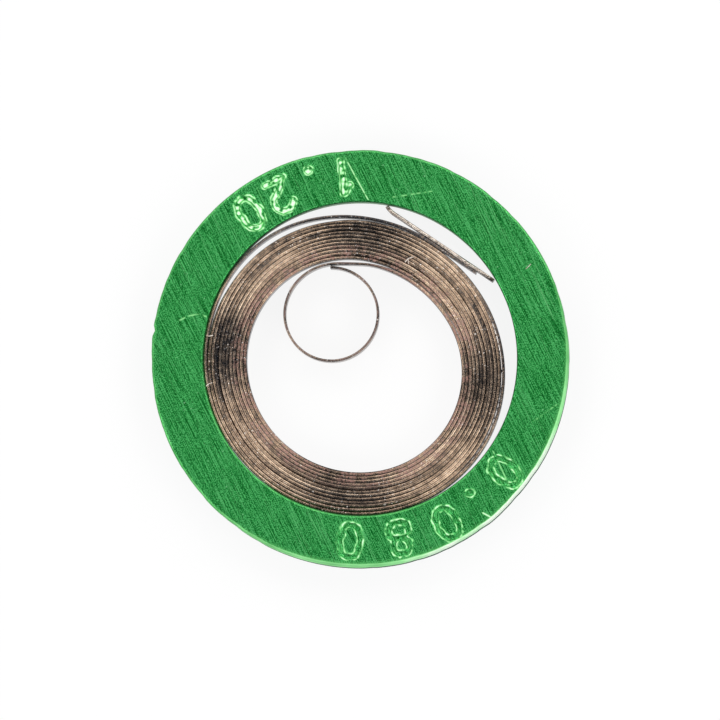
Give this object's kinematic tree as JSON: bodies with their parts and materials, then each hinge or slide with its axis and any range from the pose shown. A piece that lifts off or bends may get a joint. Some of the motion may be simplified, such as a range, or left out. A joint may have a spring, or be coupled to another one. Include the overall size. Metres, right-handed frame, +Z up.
{
  "type": "watch mainspring",
  "caption": "Coiled steel watch mainspring with an eye at its inner end and a welded bridle at its outer end, kept wound in a flat green anodised aluminium ring.",
  "frame": {"origin": "centre of the keeper ring's underside, on the ring's axis", "axes": "+Z up along the ring's axis; seen from above, the strip winds outwards clockwise and the bridle lies towards +X and +Y"},
  "size_m": [0.012, 0.012, 0.0013],
  "materials": {
    "green_aluminium": "green anodised, brushed",
    "spring_steel": "dull grey-brown spring steel",
    "bridle_steel": "dull brown spring steel"
  },
  "bodies": {
    "root": {"keeper_ring": "green_aluminium", "mainspring": "spring_steel", "end_bridle": "bridle_steel"}
  },
  "joints": []
}
